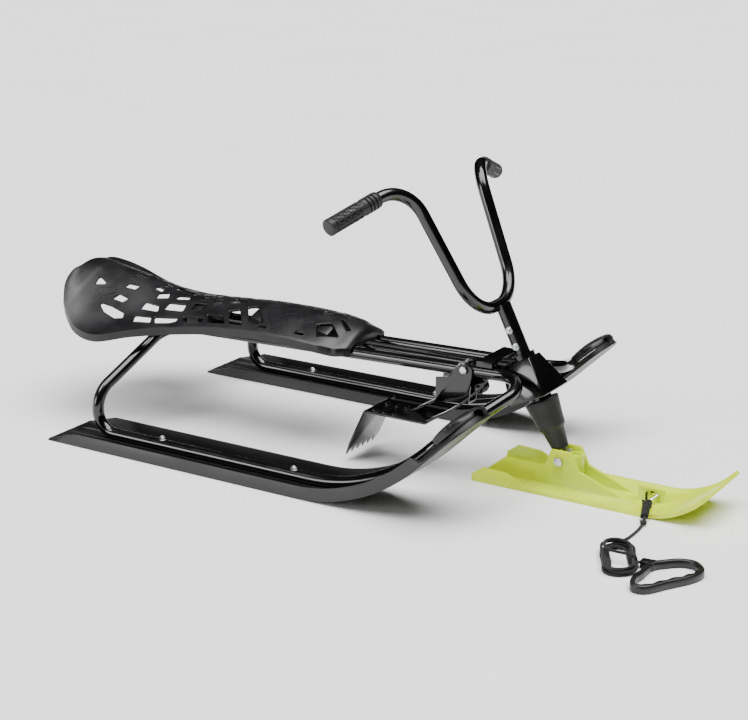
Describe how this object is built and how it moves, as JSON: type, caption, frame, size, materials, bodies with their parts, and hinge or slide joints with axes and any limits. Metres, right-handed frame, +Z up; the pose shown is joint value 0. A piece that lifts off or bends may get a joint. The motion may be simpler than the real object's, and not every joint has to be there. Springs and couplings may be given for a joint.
{
  "type": "steerable snow sled",
  "caption": "Steerable snow sled with a moulded seat on a bent steel tube frame, plastic runners, a sprung claw brake and a front ski on a raked steering column.",
  "frame": {"origin": "centre of the bounding box on the floor, the tow rope left out", "axes": "+X forward along the sled, +Y to the rider's left, +Z up"},
  "size_m": [1.289, 0.5995, 0.4765],
  "materials": {
    "frame_steel": "gloss black powder coat",
    "runner_plastic": "satin black moulded plastic",
    "seat_plastic": "satin black moulded plastic",
    "grip_rubber": "matt black rubber",
    "ski_plastic": "lime moulded plastic",
    "zinc": "bright zinc plate",
    "spring_steel": "dark oiled spring steel",
    "rope": "black braided cord",
    "handle_plastic": "satin black moulded plastic"
  },
  "bodies": {
    "frame": {"loop_right": "frame_steel", "loop_left": "frame_steel", "spine_tube": "frame_steel", "head_box": "frame_steel", "head_tube": "frame_steel", "cross_tube": "frame_steel", "runner_right": "runner_plastic", "runner_left": "runner_plastic", "foot_rest_right": "runner_plastic", "foot_rest_left": "runner_plastic", "runner_bolts": "zinc", "seat_shell": "seat_plastic", "seat_saddles": "seat_plastic", "rail_bridge": "frame_steel", "brake_bolt": "zinc"},
    "brake": {"brake_pedal": "frame_steel", "brake_arm": "frame_steel", "brake_strap": "spring_steel", "brake_spring": "spring_steel"},
    "steering": {"stem": "frame_steel", "handlebar": "frame_steel", "grip_right": "grip_rubber", "grip_left": "grip_rubber", "stem_bolts": "zinc", "steering_shaft": "zinc", "boot": "grip_rubber"},
    "ski": {"ski": "ski_plastic", "ski_bolt": "zinc", "carabiner": "zinc", "tow_rope": "rope", "rope_hank": "rope", "tow_handle": "handle_plastic"}
  },
  "joints": [
    {"name": "steer", "type": "hinge", "parent": "frame", "child": "steering", "pos_m": [0.37, 0, 0], "axis": [-0.4431, 0, 0.8965], "range_deg": [-35, 35]},
    {"name": "ski_pitch", "type": "hinge", "parent": "steering", "child": "ski", "pos_m": [0.3477, 0, 0.045], "axis": [0, -1, 0], "range_deg": [-10, 14]},
    {"name": "brake", "type": "hinge", "parent": "frame", "child": "brake", "pos_m": [0.193, -0.0386, 0.178], "axis": [0, -1, 0], "range_deg": [0, 14], "stiffness_Nm_per_rad": 6, "springref_deg": -12.03}
  ]
}
